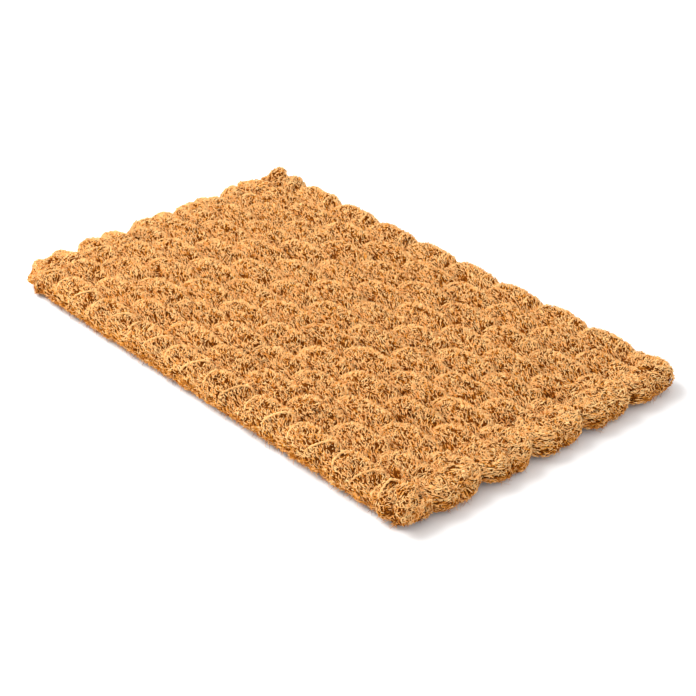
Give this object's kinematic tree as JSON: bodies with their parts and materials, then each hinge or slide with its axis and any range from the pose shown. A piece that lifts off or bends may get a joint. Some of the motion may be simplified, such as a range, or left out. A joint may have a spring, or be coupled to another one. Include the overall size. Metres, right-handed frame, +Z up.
{
  "type": "door mat",
  "caption": "Rectangular door mat of chunky coir rope, laid to and fro in parallel passes with round turns at both ends and bound in plain weave by thin coir yarns.",
  "frame": {"origin": "middle of the mat's rectangle, on the floor beneath it", "axes": "+X along the mat's length, the way the rope's passes run, +Y across the passes, +Z up out of the walking face"},
  "size_m": [0.75, 0.4501, 0.0429],
  "materials": {
    "coir_rope": "coarse, matt, hairy coir rope",
    "coir_yarn": "matt spun coir yarn, paler than the rope"
  },
  "bodies": {
    "root": {"rope": "coir_rope", "binding_yarn_01a": "coir_yarn", "binding_yarn_01b": "coir_yarn", "binding_yarn_02a": "coir_yarn", "binding_yarn_02b": "coir_yarn", "binding_yarn_03a": "coir_yarn", "binding_yarn_03b": "coir_yarn", "binding_yarn_04a": "coir_yarn", "binding_yarn_04b": "coir_yarn", "binding_yarn_05a": "coir_yarn", "binding_yarn_05b": "coir_yarn", "binding_yarn_06a": "coir_yarn", "binding_yarn_06b": "coir_yarn", "binding_yarn_07a": "coir_yarn", "binding_yarn_07b": "coir_yarn", "binding_yarn_08a": "coir_yarn", "binding_yarn_08b": "coir_yarn", "binding_yarn_09a": "coir_yarn", "binding_yarn_09b": "coir_yarn", "binding_yarn_10a": "coir_yarn", "binding_yarn_10b": "coir_yarn", "binding_yarn_11a": "coir_yarn", "binding_yarn_11b": "coir_yarn", "binding_yarn_12a": "coir_yarn", "binding_yarn_12b": "coir_yarn", "binding_yarn_13a": "coir_yarn", "binding_yarn_13b": "coir_yarn", "binding_yarn_14a": "coir_yarn", "binding_yarn_14b": "coir_yarn", "binding_yarn_15a": "coir_yarn", "binding_yarn_15b": "coir_yarn", "binding_yarn_16a": "coir_yarn", "binding_yarn_16b": "coir_yarn", "binding_yarn_17a": "coir_yarn", "binding_yarn_17b": "coir_yarn"}
  },
  "joints": []
}
